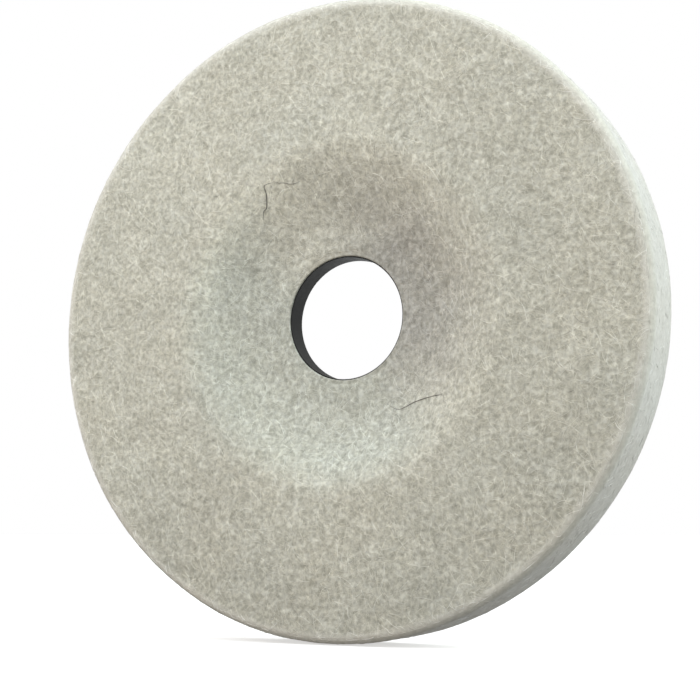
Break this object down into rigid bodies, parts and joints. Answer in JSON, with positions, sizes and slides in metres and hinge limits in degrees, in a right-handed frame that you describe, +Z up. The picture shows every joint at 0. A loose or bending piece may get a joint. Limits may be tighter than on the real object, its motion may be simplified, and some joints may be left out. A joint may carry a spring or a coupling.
{
  "type": "felt polishing wheel",
  "caption": "Thick pressed wool felt wheel with a dished centre, a glass-reinforced backing and a steel-lined bore, for polishing on a grinder or arbor.",
  "frame": {"origin": "on the spin axis, in the plane where the machine's inner flange bears on the backing (the tool-side mouth of the bore)", "axes": "+Y along the spin axis and out of the tool side, so the felt's working face looks along -Y; +Z up"},
  "size_m": [0.115, 0.0127, 0.115],
  "materials": {
    "wool_felt": "matte",
    "adhesive": "satin",
    "glass_cloth": "matte",
    "resin_board": "matte",
    "blackened_steel": "matte"
  },
  "bodies": {
    "root": {"felt_pad": "wool_felt", "bond_film": "adhesive", "front_glass_ply": "glass_cloth", "backing_core": "resin_board", "rear_glass_ply": "glass_cloth", "bore_ring": "blackened_steel"}
  },
  "joints": []
}
